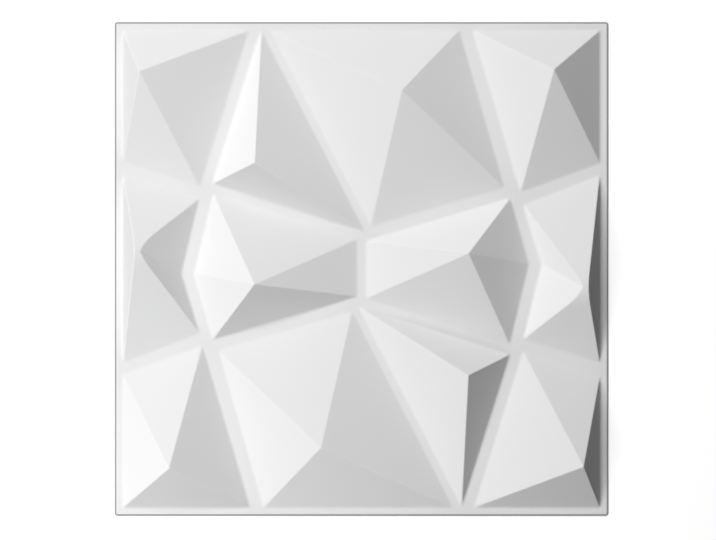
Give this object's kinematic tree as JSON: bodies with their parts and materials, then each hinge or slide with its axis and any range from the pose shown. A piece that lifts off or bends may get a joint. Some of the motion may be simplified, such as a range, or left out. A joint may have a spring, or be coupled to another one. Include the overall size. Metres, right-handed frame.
{
  "type": "3d wall panel tile",
  "caption": "Square white decorative wall panel formed from plastic sheet, with faceted pyramid peaks between flat grooves, a narrow flat border and a hollow back for gluing to a wall.",
  "frame": {"origin": "centre of the panel's back, in the plane that is glued to the wall", "axes": "+Z out of the decorated face, up when the panel lies on a floor; +Y towards the top of the panel"},
  "size_m": [0.5, 0.5, 0.0332],
  "materials": {
    "pvc_sheet": "matte white rigid PVC sheet with a fine grain"
  },
  "bodies": {
    "root": {"wall_panel": "pvc_sheet"}
  },
  "joints": []
}
